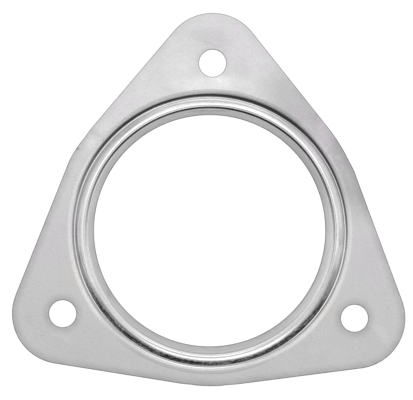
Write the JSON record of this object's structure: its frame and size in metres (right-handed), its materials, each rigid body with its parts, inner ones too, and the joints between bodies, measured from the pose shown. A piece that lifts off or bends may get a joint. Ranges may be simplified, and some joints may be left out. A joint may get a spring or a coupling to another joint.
{
  "type": "exhaust gasket",
  "caption": "Lobed sheet-steel gasket for an exhaust flange, with a large round bore, a sealing ring pressed round it and a stud hole in each lobe.",
  "frame": {"origin": "centre of the bore, on the plane that the ring stands on", "axes": "+Z along the bore towards the side with the raised crest, +Y towards one stud hole, +X to the right of it seen from +Z"},
  "size_m": [0.1284, 0.1226, 0.0014],
  "materials": {
    "sheet_steel": "matte rolled sheet, burnished on the pressed ring"
  },
  "bodies": {
    "root": {"gasket_sheet": "sheet_steel"}
  },
  "joints": []
}
